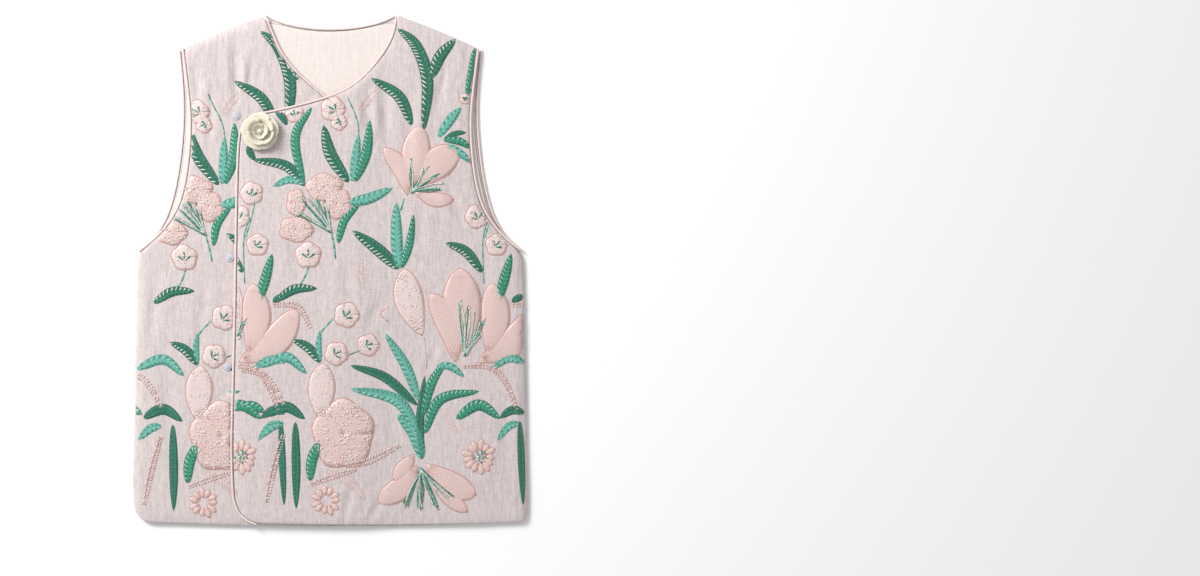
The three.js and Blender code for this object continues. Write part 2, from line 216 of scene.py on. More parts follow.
def new_cloth(name, light, dark, crinkle_strength, weave_strength, sheen):
    """Slubby crinkled linen: streaked colour, a fine weave and upright crinkles."""
    cloth = bpy.data.materials.new(name)
    cloth.use_nodes = True
    tree = cloth.node_tree
    shader = tree.nodes["Principled BSDF"]
    shader.inputs["Roughness"].default_value = 0.88
    shader.inputs["Sheen Weight"].default_value = sheen
    shader.inputs["Sheen Roughness"].default_value = 0.45
    place = tree.nodes.new("ShaderNodeTexCoord")

    def stretched_noise(scale, detail):
        mapping = tree.nodes.new("ShaderNodeMapping")
        mapping.inputs["Scale"].default_value = scale
        tree.links.new(place.outputs["Object"], mapping.inputs["Vector"])
        texture = tree.nodes.new("ShaderNodeTexNoise")
        texture.inputs["Scale"].default_value = 1.0
        texture.inputs["Detail"].default_value = detail
        tree.links.new(mapping.outputs["Vector"], texture.inputs["Vector"])
        return texture.outputs["Fac"]

    streaks = stretched_noise((520, 90, 90), 4)
    slubs = stretched_noise((150, 900, 150), 3)
    crinkles = stretched_noise((210, 38, 60), 5)
    colour = tree.nodes.new("ShaderNodeMix")
    colour.data_type = "RGBA"
    colour.inputs["A"].default_value = (*dark, 1)
    colour.inputs["B"].default_value = (*light, 1)
    spread = tree.nodes.new("ShaderNodeMapRange")
    spread.inputs["From Min"].default_value = 0.36
    spread.inputs["From Max"].default_value = 0.62
    blend = tree.nodes.new("ShaderNodeMath")
    blend.operation = "MULTIPLY_ADD"
    blend.inputs[1].default_value = 0.45
    tree.links.new(slubs, blend.inputs[0])
    half = tree.nodes.new("ShaderNodeMath")
    half.operation = "MULTIPLY"
    half.inputs[1].default_value = 0.55
    tree.links.new(streaks, half.inputs[0])
    tree.links.new(half.outputs[0], blend.inputs[2])
    tree.links.new(blend.outputs[0], spread.inputs["Value"])
    tree.links.new(spread.outputs["Result"], colour.inputs["Factor"])
    tree.links.new(colour.outputs["Result"], shader.inputs["Base Color"])

    crinkle = tree.nodes.new("ShaderNodeBump")
    crinkle.inputs["Strength"].default_value = crinkle_strength
    crinkle.inputs["Distance"].default_value = 0.0016
    tree.links.new(crinkles, crinkle.inputs["Height"])
    weave = tree.nodes.new("ShaderNodeBump")
    weave.inputs["Strength"].default_value = weave_strength
    weave.inputs["Distance"].default_value = 0.0004
    tree.links.new(blend.outputs[0], weave.inputs["Height"])
    tree.links.new(crinkle.outputs["Normal"], weave.inputs["Normal"])
    tree.links.new(weave.outputs["Normal"], shader.inputs["Normal"])
    return cloth


pink_linen = new_cloth(
    "pink_linen",
    (0.63, 0.56, 0.555),
    (0.50, 0.43, 0.425),
    crinkle_strength=0.55,
    weave_strength=0.5,
    sheen=0.15,
)


def folded_panel(node, creases, seed, outer):
    """A panel with its folds; outer is 1 where its right side faces up and -1 where it faces down."""
    panel = smoothed_copy(node, node + "_cloth", PANEL_LEVELS)
    points, normals = read_points(panel)
    facing = np.clip((normals[:, 2] * outer - 0.1) / 0.5, 0, 1)
    folds = crease_heights(points, creases) + crinkle_heights(points, seed)
    near_seam = np.clip(1 - seam_distance(points) / SEAM_REACH, 0, 1) ** 2
    if outer > 0:
        points[:, 2] += facing * folds * (1 - near_seam) - near_seam * SEAM_CLOSE
    else:
        points[:, 2] += facing * (UNDERSIDE_RISE + np.clip(-folds, -0.4 * MM, 1.5 * MM))
        points[:, 2] = np.maximum(points[:, 2], 0.0)
    write_points(panel, points)
    panel.data.materials.append(pink_linen)
    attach(panel, "root")
    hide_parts(node)
    return panel


back = folded_panel("back", BACK_CREASES, seed=4.2, outer=-1)
front_right = folded_panel("front_right", FRONT_CREASES, seed=9.7, outer=1)
front_left = folded_panel("front_left", FRONT_CREASES, seed=9.7, outer=1)


def tree_of(piece):
    """A search tree of the piece's faces."""
    return BVHTree.FromPolygons(
        [v.co.copy() for v in piece.data.vertices], [tuple(f.vertices) for f in piece.data.polygons]
    )


OVERLAP_TREE = tree_of(front_left)
HIGH = 0.1

# The underlap lies flat where the overlap covers it
underlap_points, underlap_normals = read_points(front_right)
UNDERLAP_TOP = 7.5 * MM
for i, (x, y, z) in enumerate(underlap_points):
    if underlap_normals[i][2] > 0 and z > UNDERLAP_TOP and OVERLAP_TREE.ray_cast((x, y, HIGH), (0, 0, -1))[0]:
        underlap_points[i][2] = UNDERLAP_TOP
write_points(front_right, underlap_points)
UNDERLAP_TREE = tree_of(front_right)
BACK_TREE = tree_of(back)

# ---------------------------------------------------------------- Back lining
# Cream jacquard satin, caught in the side and shoulder seams. It shows in the neck opening and inside the
# armholes. Its round fret medallions and small cloud scrolls, woven a shade darker, are not built;
# the satin has only streaked colour and a faint weave.

lining = smoothed_copy("back_lining", "back_lining_satin", 2)
cream_satin = new_cloth(
    "cream_satin",
    (0.74, 0.67, 0.63),
    (0.68, 0.60, 0.56),
    crinkle_strength=0.2,
    weave_strength=0.25,
    sheen=0.1,
)
cream_satin.node_tree.nodes["Principled BSDF"].inputs["Roughness"].default_value = 0.55
lining.data.materials.append(cream_satin)
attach(lining, "root")
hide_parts("back_lining")

# ---------------------------------------------------------------- Piping
# Thin bias-cut satin round a cord, sewn into the neck, the front edge and both armholes.

PIPING_SWELL = 0.22 * MM
piping_satin = new_cloth(
    "piping_satin",
    (0.76, 0.63, 0.61),
    (0.66, 0.50, 0.48),
    crinkle_strength=0.15,
    weave_strength=0.3,
    sheen=0.2,
)
for node in sorted(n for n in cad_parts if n.startswith("piping_")):
    cord = smoothed_copy(node, node + "_satin", 2)
    points, normals = read_points(cord)
    points += normals * PIPING_SWELL
    if "_front" in node or "right_neck" in node:
        near_seam = np.clip(1 - seam_distance(points) / SEAM_REACH, 0, 1) ** 2
        points[:, 2] -= near_seam * SEAM_CLOSE
    write_points(cord, points)
    cord.data.materials.append(piping_satin)
    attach(cord, "root")
    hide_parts(node)

# ---------------------------------------------------------------- Embroidery
# Silk thread on the linen: fishbone leaves in greens and teal, lilies, small flowers and sprays in rose pink,
# and seed knots. One design repeats across the cloth. Its tables are in millimetres, x out from the centre
# front and y up from mid length.

DARK = (0.012, 0.135, 0.085)
GREEN = (0.022, 0.24, 0.145)
EMERALD = (0.035, 0.33, 0.20)
TEAL = (0.13, 0.41, 0.34)
MINT = (0.34, 0.58, 0.50)
IVORY = (0.74, 0.70, 0.66)
ROSE = (0.56, 0.29, 0.25)
BLUSH = (0.64, 0.41, 0.37)
SHELL = (0.66, 0.49, 0.46)
PALE = (0.68, 0.56, 0.54)

FAMILIES = ("green", "pink")
stitches = {family: [] for family in FAMILIES}
knots = {family: [] for family in FAMILIES}
patches = {family: [] for family in FAMILIES}


def stitch(family, start, end, width, colour, lift=0.0, height=0.55):
    stitches[family].append((*start, *end, width, height, lift, *colour))


def knot(family, x, y, radius, colour, lift=0.0):
    knots[family].append((x, y, radius, lift, *colour))


def curve(points, count):
    """A smooth curve through two or more points, as evenly numbered points."""
    if len(points) == 2:
        t = np.linspace(0, 1, count)[:, None]
        return np.array(points[0]) * (1 - t) + np.array(points[1]) * t
    before = 2 * np.array(points[0]) - points[1]
    after = 2 * np.array(points[-1]) - points[-2]
    ends = [before, *map(np.array, points), after]
    result = []
    for step in np.linspace(0, len(points) - 1, count):
        i = min(int(step), len(points) - 2)
        t = step - i
        a, b, c, d = ends[i : i + 4]
        result.append(
            0.5 * (2 * b + (c - a) * t + (2 * a - 5 * b + 4 * c - d) * t**2 + (3 * b - a - 3 * c + d) * t**3)
        )
    return np.array(result)


def sides(line):
    """Unit vectors across a curve, to the left of its direction."""
    run = np.gradient(line, axis=0)
    run /= np.linalg.norm(run, axis=1)[:, None]
    return np.stack([-run[:, 1], run[:, 0]], axis=1)


def length_of(line):
    return float(np.linalg.norm(np.diff(line, axis=0), axis=1).sum())


def blade(t):
    """Half width of a leaf from its foot at 0 to its tip at 1."""
    return t**0.5 * (1 - t) ** 0.62 / 0.479


def lobe(t):
    """Half width of a petal, fullest past its middle."""
    return np.sin(np.pi * np.clip(t, 0, 1) ** 1.25) ** 0.62


def patch(family, line, half_width, shape, colour, dome, columns=4, pitch=4.0):
    """A low padded ground under the stitches, following a curve."""
    rows = max(5, int(length_of(line) / pitch))
    t = np.linspace(0.004, 0.996, rows)
    where = t * (len(line) - 1)
    middle = np.stack([np.interp(where, range(len(line)), line[:, k]) for k in (0, 1)], axis=1)
    across = sides(middle)
    s = np.linspace(-1, 1, columns + 1)
    half = half_width * shape(t)
    grid = middle[:, None, :] + across[:, None, :] * (half[:, None] * s[None, :])[..., None]
    heights = dome * (1 - s[None, :] ** 2) * np.minimum(1, half[:, None] / half_width + 0.25)
    patches[family].append((grid, heights, colour))


def outline(family, line, half_width, shape, colour, width, lift=0.1):
    """A corded line of overlapping stitches round a leaf or petal."""
    t = np.linspace(0, 1, len(line))
    across = sides(line)
    for side in (1, -1):
        edge = line + across * (side * half_width * shape(t))[:, None]
        count = max(4, int(length_of(edge) / 4.2))
        where = np.linspace(0, len(line) - 1, count + 1)
        edge = np.stack([np.interp(where, range(len(line)), edge[:, k]) for k in (0, 1)], axis=1)
        for a, b in zip(edge[:-1], edge[1:]):
            reach = (b - a) * 0.18
            stitch(family, a - reach, b + reach, width, colour, lift)


CORD_POINTS = 40


def cord(family, points, width, colours, lift=0.05, pitch=5.0):
    """A stem or corded line."""
    line = curve(points, CORD_POINTS)
    count = max(2, int(length_of(line) / pitch))
    where = np.linspace(0, len(line) - 1, count + 1)
    line = np.stack([np.interp(where, range(len(line)), line[:, k]) for k in (0, 1)], axis=1)
    for i, (a, b) in enumerate(zip(line[:-1], line[1:])):
        reach = (b - a) * 0.2
        stitch(family, a - reach, b + reach, width, colours[i % len(colours)], lift, 0.7)


LEAF_THREADS = {
    "barred": dict(ground=DARK, left=(DARK, DARK, IVORY), right=(DARK, GREEN, DARK), edge=DARK),
    "dark": dict(ground=DARK, left=(DARK, GREEN), right=(DARK, DARK, GREEN), edge=DARK),
    "emerald": dict(ground=GREEN, left=(EMERALD, DARK, MINT), right=(GREEN, DARK, EMERALD), edge=GREEN),
    "teal": dict(ground=TEAL, left=(TEAL, MINT, TEAL, GREEN), right=(TEAL, TEAL, GREEN), edge=TEAL),
}


LEAF_POINTS = 60


def leaf(points, width, kind):
    """A fishbone leaf: a padded ground, slanted satin stitches either side of the vein and a corded edge."""
    threads = LEAF_THREADS[kind]
    line = curve(points, LEAF_POINTS)
    half = width / 2
    long = length_of(line)
    patch("green", line, half * 0.92, blade, threads["ground"], dome=0.55)
    across = sides(line)
    pitch = 1.75
    slant = 0.55 * half / long
    count = int(long / pitch)
    for side, colours in ((1, threads["left"]), (-1, threads["right"])):
        for i in range(count):
            t = (i + 0.5) / count * 0.94 + 0.01
            far = min(t + slant * blade(t) + 0.01, 0.985)
            vein_at = int(t * (LEAF_POINTS - 1))
            edge_at = int(far * (LEAF_POINTS - 1))
            a = line[vein_at] + across[vein_at] * side * 0.12
            b = line[edge_at] + across[edge_at] * side * half * blade(far)
            colour = colours[i % len(colours)]
            stitch("green", a, b, 1.75, colour, 0.35, 0.6)
    outline("green", line, half, blade, threads["edge"], 1.1, 0.1)


PETAL_POINTS = 50


def petal(foot, tip, width, fill, bend=0.0):
    """A petal from its foot to its tip: a pale raised ground, rows of fine stitches and a corded rim."""
    foot, tip = np.array(foot, float), np.array(tip, float)
    run = tip - foot
    middle = (foot + tip) / 2 + np.array([-run[1], run[0]]) * bend
    line = curve([foot, middle, tip], PETAL_POINTS)
    half = width / 2
    long = length_of(line)
    patch("pink", line, half, lobe, SHELL if fill == "hatched" else PALE, dome=0.9, columns=8)
    across = sides(line)
    if fill == "hatched":
        rows = max(3, int(width / 3.2))
        for k in range(rows):
            s = (k + 0.5) / rows * 2 - 1
            for t in np.arange(0.08, 0.9, 5.2 / long):
                t = t + 0.4 * (k % 2) * 5.2 / long
                end = t + 4.2 / long
                if end > 0.95:
                    continue
                i, j = int(t * (PETAL_POINTS - 1)), int(end * (PETAL_POINTS - 1))
                a = line[i] + across[i] * s * half * lobe(t) * 0.92
                b = line[j] + across[j] * s * half * lobe(end) * 0.92
                stitch("pink", a, b, 0.9, (ROSE, BLUSH, BLUSH)[(i + k) % 3], 0.75 * (1 - s * s) + 0.05, 0.4)
    else:
        for _ in range(int(width * long / 17)):
            t, s = random.uniform(0.1, 0.93), random.uniform(-0.9, 0.9)
            i = int(t * (PETAL_POINTS - 1))
            place = line[i] + across[i] * s * half * lobe(t)
            lift = 0.75 * (1 - s * s)
            if random.random() < 0.42:
                knot("pink", *place, random.uniform(0.8, 1.15), random.choice((IVORY, SHELL)), lift)
            else:
                turn = random.uniform(0, math.pi)
                reach = np.array([math.cos(turn), math.sin(turn)]) * random.uniform(1.2, 1.9)
                stitch("pink", place - reach, place + reach, 0.95, random.choice((ROSE, BLUSH)), lift, 0.45)
    outline("pink", line, half, lobe, ROSE, 1.15)


def stamens(foot, tips):
    """A burst of green and white filaments from the heart of a flower."""
    foot = np.array(foot, float)
    for tip in tips:
        tip = np.array(tip, float)
        for k in range(5):
            end = tip + np.array([random.uniform(-4, 4), random.uniform(-4, 4)])
            start = foot + np.array([random.uniform(-2, 2), random.uniform(-2, 2)])
            colour = (DARK, GREEN, EMERALD, MINT, IVORY)[k]
            cord("green", [start, start * 0.45 + end * 0.55 + (tip - foot)[::-1] * 0.03 * (k - 2), end],
                 1.3, (colour, GREEN if k < 3 else colour), 0.8 + 0.12 * k, 6.0)
            knot("green", *end, 0.95, (EMERALD, IVORY)[k % 2], 0.8)


def bloom(x, y, radius, stem):
    """A small ruffled flower of knots and loops, with a three-pronged green calyx on its stem side."""
    turns = np.linspace(0, 2 * math.pi, 27)[:-1]
    rim = [radius * (0.86 + 0.14 * abs(math.cos(2.5 * a + x))) for a in turns]
    s = np.linspace(0.02, 1, 5)
    grid = np.array([[(x + r * q * math.cos(a), y + r * q * math.sin(a)) for q in s]
                     for a, r in zip([*turns, turns[0] + 2 * math.pi], [*rim, rim[0]])])
    patches["pink"].append((grid[:, ::-1], np.tile(1.1 * (1 - s[::-1] ** 2), (len(grid), 1)), PALE))
    for i in range(len(turns)):
        a, b = turns[i], turns[(i + 1) % len(turns)]
        ra, rb = rim[i], rim[(i + 1) % len(turns)]
        start = np.array([x + ra * math.cos(a), y + ra * math.sin(a)])
        end = np.array([x + rb * math.cos(b), y + rb * math.sin(b)])
        stitch("pink", start - (end - start) * 0.25, end + (end - start) * 0.25, 1.2, ROSE, 0.1)
    for _ in range(int(radius * radius / 3.6)):
        a, q = random.uniform(0, 2 * math.pi), math.sqrt(random.uniform(0.02, 0.9))
        place = np.array([x + radius * 0.86 * q * math.cos(a), y + radius * 0.86 * q * math.sin(a)])
        turn = a + random.uniform(0.7, 2.4)
        reach = np.array([math.cos(turn), math.sin(turn)]) * random.uniform(1.1, 2.0)
        lift = 1.0 * (1 - q * q)
        if random.random() < 0.3:
            knot("pink", *place, random.uniform(0.8, 1.2), random.choice((IVORY, SHELL)), lift)
        else:
            stitch("pink", place - reach, place + reach, 1.15, random.choice((ROSE, BLUSH, BLUSH)), lift, 0.5)
    towards_stem = np.array([math.cos(math.radians(stem)), math.sin(math.radians(stem))])
    base = np.array([x, y]) + 0.25 * radius * towards_stem
    for prong in (-52, 0, 52):
        turn = math.radians(stem + 180 + prong)
        reach = radius * (0.62 if prong else 0.72)
        tip = base + reach * np.array([math.cos(turn), math.sin(turn)])
        for off in (-0.9, 0, 0.9):
            shift = np.array([-math.sin(turn), math.cos(turn)]) * off
            stitch("green", base, tip + shift, 1.5, (DARK, GREEN, TEAL)[int(off + 1)], 1.0, 0.7)


def seeded(x, y, rx, ry, dips=0.06):
    """A broad seeded petal: a scalloped ground covered with pearl beads and tiny loops."""
    turns = np.linspace(0, 2 * math.pi, 33)
    rim = [1 - dips + dips * math.cos(5 * a + x * 0.3) for a in turns]
    s = np.linspace(0.02, 1, 7)
    grid = np.array([[(x + rx * r * q * math.cos(a), y + ry * r * q * math.sin(a)) for q in s]
                     for a, r in zip(turns, rim)])
    patches["pink"].append((grid[:, ::-1], np.tile(1.3 * (1 - s[::-1] ** 4), (len(grid), 1)), SHELL))
    edge = grid[:, -1]
    for a, b in zip(edge[:-1], edge[1:]):
        stitch("pink", a - (b - a) * 0.15, b + (b - a) * 0.15, 1.2, ROSE, 0.1)
    for _ in range(int(rx * ry / 3.0)):
        a, q = random.uniform(0, 2 * math.pi), math.sqrt(random.uniform(0, 0.9))
        px, py = x + rx * 0.93 * q * math.cos(a), y + ry * 0.93 * q * math.sin(a)
        lift = 1.2 * (1 - q**4)
        if random.random() < 0.5:
            knot("pink", px, py, random.uniform(0.9, 1.25), random.choice((IVORY, IVORY, SHELL)), lift)
        else:
            turn = random.uniform(0, math.pi)
            reach = np.array([math.cos(turn), math.sin(turn)]) * 1.4
            stitch("pink", (px - reach[0], py - reach[1]), (px + reach[0], py + reach[1]), 1.1,
                   random.choice((ROSE, BLUSH)), lift, 0.45)


def rope(points, width):
    """A plaited arc: two rows of fat slanting stitches that meet down the middle."""
    line = curve(points, PETAL_POINTS)
    across = sides(line)
    count = int(length_of(line) / 3.4)
    for i in range(count):
        t = (i + 0.5) / count
        k, far = int(t * (PETAL_POINTS - 1)), int(min(t + 0.035, 1) * (PETAL_POINTS - 1))
        swell = width / 2 * (0.55 + 0.45 * math.sin(math.pi * t))
        for side in (1, -1):
            stitch("pink", line[k], line[far] + across[far] * side * swell, 2.4,
                   (BLUSH, SHELL, BLUSH)[i % 3], 0.1, 1.0)
        if i % 2:
            knot("pink", *(line[k] + across[k] * swell * 0.5), 1.0, IVORY, 0.7)


def feather(points, width):
    """A pale feathered leaf of open slanting stitches."""
    line = curve(points, PETAL_POINTS)
    across = sides(line)
    count = int(length_of(line) / 2.3)
    for i in range(count):
        t = (i + 0.5) / count
        k, far = int(t * (PETAL_POINTS - 1)), int(min(t + 0.06, 1) * (PETAL_POINTS - 1))
        for side in (1, -1):
            tip = line[far] + across[far] * side * width / 2 * blade(min(t + 0.03, 0.97))
            stitch("pink", line[k], tip, 1.2, (BLUSH, SHELL)[i % 2], 0.0, 0.5)


def daisy(x, y, radius, petals, centre):
    """A spray flower of long looped petals; some have a dotted green heart."""
    for i in range(petals):
        turn = 2 * math.pi * i / petals + random.uniform(-0.1, 0.1)
        reach = radius * random.uniform(0.82, 1.05)
        tip = np.array([x + reach * math.cos(turn), y + reach * math.sin(turn)])
        foot = np.array([x + 0.3 * radius * math.cos(turn), y + 0.3 * radius * math.sin(turn)])
        petal(foot, tip, radius * 0.36, "hatched")
    for _ in range(centre):
        a, q = random.uniform(0, 2 * math.pi), math.sqrt(random.uniform(0, 1)) * radius * 0.36
        colour = random.choice((DARK, EMERALD, TEAL, IVORY, IVORY))
        knot("green", x + q * math.cos(a), y + q * math.sin(a), 1.0, colour, 0.7)


# Leaves, from foot to tip
LEAVES = [
    dict(through=[(109, 165), (113, 222), (100, 262), (79, 282)], width=14.5, kind="barred"),
    dict(through=[(118, 225), (128, 250), (146, 270)], width=13.5, kind="barred"),
    dict(through=[(159, 203), (165, 232), (168, 260)], width=9, kind="emerald"),
    dict(through=[(95, 170), (80, 203), (48, 224)], width=13, kind="barred"),
    dict(through=[(126, 156), (140, 176), (152, 190)], width=11, kind="teal"),
    dict(through=[(132, 153), (150, 151), (166, 142)], width=9, kind="emerald"),
    dict(through=[(136, 146), (150, 138), (166, 125)], width=9, kind="teal"),
    dict(through=[(133, 154), (146, 160), (158, 161)], width=6, kind="dark"),
    dict(through=[(79, 2), (56, 24), (26, 46)], width=14.5, kind="barred"),
    dict(through=[(80, 2), (77, 40), (77, 79)], width=14, kind="teal"),
    dict(through=[(83, 3), (92, 30), (97, 65)], width=9, kind="emerald"),
    dict(through=[(177, -2), (158, 22), (135, 32)], width=12, kind="barred"),
    dict(through=[(194, -40), (203, -10), (211, 19)], width=12, kind="emerald"),
    dict(through=[(107, -171), (118, -132), (134, -107)], width=11, kind="emerald"),
    dict(through=[(103, -152), (88, -112), (64, -74)], width=12, kind="teal"),
    dict(through=[(101, -157), (64, -125), (24, -111)], width=11, kind="dark"),
    dict(through=[(103, -192), (78, -152), (24, -138)], width=14, kind="teal"),
    dict(through=[(110, -190), (128, -151), (173, -141)], width=12, kind="emerald"),
    dict(through=[(107, -220), (104, -180), (110, -124)], width=10, kind="dark"),
    dict(through=[(107, -220), (98, -190), (78, -168)], width=16, kind="teal"),
    dict(through=[(124, -112), (140, -112), (156, -124)], width=9, kind="teal"),
    dict(through=[(226, -107), (208, -102), (190, -114)], width=11, kind="teal"),
    dict(through=[(147, -173), (173, -157), (198, -173)], width=13, kind="emerald"),
    dict(through=[(226, -166), (212, -163), (198, -172)], width=10, kind="dark"),
    dict(through=[(220, -178), (208, -182), (195, -198)], width=9, kind="teal"),
    dict(through=[(221, -176), (223, -225), (225, -273)], width=8, kind="dark"),
    dict(through=[(-24, -245), (-20, -216), (-1, -187)], width=12.5, kind="emerald"),
    dict(through=[(-41, -177), (-40, -230), (-40, -277)], width=10, kind="dark"),
    dict(through=[(-75, -169), (-52, -159), (-30, -173)], width=12.5, kind="dark"),
    dict(through=[(-55, -178), (-68, -182), (-81, -195)], width=10, kind="teal"),
    dict(through=[(-108, -161), (-92, -158), (-77, -165)], width=12, kind="emerald"),
    dict(through=[(-12, -107), (-26, -90), (-44, -81)], width=11, kind="barred"),
    dict(through=[(-12, -105), (-14, -88), (-12, -70)], width=7, kind="teal"),
    dict(through=[(-83, -112), (-52, -101), (-28, -120)], width=12, kind="teal"),
    dict(through=[(-63, -35), (-42, -22), (-16, -21)], width=11, kind="barred"),
    dict(through=[(21, 79), (45, 84), (72, 96)], width=13, kind="teal"),
    dict(through=[(9, 32), (16, 58), (34, 78)], width=9.5, kind="emerald"),
    dict(through=[(21, 103), (0, 136), (-8, 169)], width=14.5, kind="barred"),
    dict(through=[(29, 104), (42, 138), (46, 175)], width=12, kind="emerald"),
    dict(through=[(25, 104), (29, 130), (33, 159)], width=10, kind="teal"),
    dict(through=[(-31, 99), (-41, 155), (-22, 190)], width=10.5, kind="emerald"),
    dict(through=[(-30, 99), (-52, 122), (-90, 129)], width=12, kind="barred"),
    dict(through=[(-30, 102), (-48, 106), (-67, 98)], width=9, kind="teal"),
    dict(through=[(-51, 170), (-57, 180), (-66, 188)], width=8, kind="dark"),
    dict(through=[(-88, 129), (-94, 138), (-96, 146)], width=8, kind="dark"),
    dict(through=[(212, -37), (219, -32), (227, -30)], width=8, kind="dark"),
]

# Lily petals, small flowers, plaited arcs and feathers
PETALS = [
    dict(foot=(94, 98), tip=(104, 169), width=33, fill="hatched"),
    dict(foot=(90, 88), tip=(62, 143), width=21, fill="hatched", bend=-0.12),
    dict(foot=(100, 98), tip=(150, 142), width=37, fill="hatched", bend=0.06),
    dict(foot=(98, 92), tip=(144, 83), width=17, fill="hatched", bend=-0.1),
    dict(foot=(146, -107), tip=(117, -27), width=31, fill="hatched", bend=-0.1),
    dict(foot=(184, -100), tip=(188, -15), width=34, fill="hatched", bend=-0.08),
    dict(foot=(157, -97), tip=(151, 3), width=46, fill="hatched"),
    dict(foot=(172, -107), tip=(240, -45), width=34, fill="hatched", bend=-0.12),
    dict(foot=(107, -76), tip=(86, 2), width=34, fill="seeded", bend=0.05),
    dict(foot=(101, -228), tip=(55, -270), width=27, fill="hatched", bend=0.1),
    dict(foot=(98, -214), tip=(74, -246), width=18, fill="hatched"),
    dict(foot=(112, -226), tip=(170, -262), width=31, fill="hatched", bend=-0.08),
    dict(foot=(120, -252), tip=(160, -282), width=17, fill="hatched"),
    dict(foot=(-12, -175), tip=(-9, -108), width=32, fill="seeded"),
]
BLOOMS = [
    dict(x=171, y=63, radius=14.5, stem=300),
    dict(x=194, y=30, radius=13.5, stem=230),
    dict(x=187, y=90, radius=14, stem=260),
    dict(x=157, y=201, radius=7, stem=90),
    dict(x=19, y=-52, radius=15.5, stem=230),
    dict(x=7, y=-97, radius=14.5, stem=215),
    dict(x=44, y=-87, radius=13.5, stem=200),
    dict(x=-26, y=18, radius=16, stem=270),
    dict(x=3, y=188, radius=15, stem=330),
    dict(x=10, y=173, radius=10, stem=20),
    dict(x=-42, y=183, radius=11, stem=280),
    dict(x=-125, y=265, radius=17, stem=20),
]
SEEDED = [
    dict(x=15, y=-191, rx=38, ry=43),
    dict(x=-7, y=97, rx=23, ry=17),
    dict(x=-40, y=79, rx=12, ry=17),
    dict(x=-40, y=48, rx=21, ry=16),
    dict(x=8, y=78, rx=17, ry=19),
]
ROPES = [
    dict(through=[(155, -112), (186, -113), (204, -130), (218, -163)], width=8),
    dict(through=[(211, -40), (240, -42), (256, -67)], width=9),
    dict(through=[(-104, -116), (-75, -124), (-54, -157)], width=8),
    dict(through=[(-75, -272), (-66, -230), (-55, -191)], width=9),
    dict(through=[(16, -228), (45, -222), (81, -204)], width=10),
    dict(through=[(-24, -250), (4, -240), (30, -232)], width=8),
]
FEATHERS = [
    dict(through=[(-5, -233), (22, -246), (40, -268)], width=15),
    dict(through=[(34, 186), (44, 200), (58, 213)], width=13),
    dict(through=[(150, -190), (140, -178), (136, -160)], width=10),
    dict(through=[(36, 10), (34, -6), (38, -22)], width=12),
]
DAISIES = [
    dict(x=174, y=-217, radius=21, petals=13, centre=34),
    dict(x=-5, y=-268, radius=19, petals=11, centre=0),
]
STEMS = [
    dict(through=[(185, 62), (178, 36), (179, -15)], width=1.8, thread=(GREEN, TEAL)),
    dict(through=[(86, 84), (82, 70)], width=2.4, thread=(TEAL, GREEN)),
    dict(through=[(33, 158), (31, 176), (17, 209)], width=2.0, thread=(TEAL, GREEN)),
    dict(through=[(-12, -107), (-13, -77), (3, -56)], width=2.2, thread=(TEAL, GREEN)),
    dict(through=[(-4, -102), (16, -100), (38, -92)], width=1.6, thread=(GREEN, DARK)),
    dict(through=[(-25, 6), (-32, -12), (-44, -25)], width=2.4, thread=(GREEN, TEAL)),
    dict(through=[(1, 44), (4, 30), (6, 14)], width=2.4, thread=(TEAL, GREEN)),
    dict(through=[(109, -77), (112, -100), (111, -124)], width=1.6, thread=(BLUSH, SHELL)),
    dict(through=[(67, -60), (58, -50), (68, -42)], width=2.2, thread=(BLUSH, ROSE)),
    dict(through=[(192, 87), (188, 66), (180, 38)], width=1.8, thread=(GREEN, TEAL)),
]
STAMENS = [
    dict(foot=(95, 92), tips=[(96, 128), (112, 118), (124, 110), (128, 98)]),
    dict(foot=(157, -98), tips=[(152, -38), (164, -44), (178, -58), (172, -74)]),
    dict(foot=(105, -232), tips=[(88, -272), (104, -278), (122, -276), (140, -266)]),
    dict(foot=(0, 46), tips=[(-30, 82), (-18, 84), (-4, 80), (-36, 66)]),
]

for item in SEEDED:
    seeded(**item)
for item in FEATHERS:
    feather(item["through"], item["width"])
for item in PETALS:
    petal(**item)
for item in DAISIES:
    daisy(**item)
for item in ROPES:
    rope(item["through"], item["width"])
for item in BLOOMS:
    bloom(**item)
for item in STEMS:
    family = "pink" if item["thread"][0] == BLUSH else "green"
    cord(family, item["through"], item["width"], item["thread"])
for item in LEAVES:
    leaf(item["through"], item["width"], item["kind"])
for item in STAMENS:
    stamens(**item)

silk = bpy.data.materials.new("silk_thread")
silk.use_nodes = True
silk_tree = silk.node_tree
silk_shader = silk_tree.nodes["Principled BSDF"]
silk_shader.inputs["Roughness"].default_value = 0.42
silk_shader.inputs["Sheen Weight"].default_value = 0.25
silk_dye = silk_tree.nodes.new("ShaderNodeAttribute")
silk_dye.attribute_name = "dye"
silk_place = silk_tree.nodes.new("ShaderNodeTexCoord")
silk_twist = silk_tree.nodes.new("ShaderNodeTexNoise")
silk_twist.inputs["Scale"].default_value = 1400
silk_twist.inputs["Detail"].default_value = 2
silk_tree.links.new(silk_place.outputs["Object"], silk_twist.inputs["Vector"])
silk_shade = silk_tree.nodes.new("ShaderNodeMapRange")
silk_shade.inputs["To Min"].default_value = 0.7
silk_shade.inputs["To Max"].default_value = 1.25
silk_tree.links.new(silk_twist.outputs["Fac"], silk_shade.inputs["Value"])
silk_colour = silk_tree.nodes.new("ShaderNodeVectorMath")
silk_colour.operation = "SCALE"
silk_tree.links.new(silk_dye.outputs["Color"], silk_colour.inputs[0])
silk_tree.links.new(silk_shade.outputs["Result"], silk_colour.inputs["Scale"])
silk_tree.links.new(silk_colour.outputs["Vector"], silk_shader.inputs["Base Color"])
silk_bump = silk_tree.nodes.new("ShaderNodeBump")
silk_bump.inputs["Strength"].default_value = 0.4
silk_bump.inputs["Distance"].default_value = 0.0002
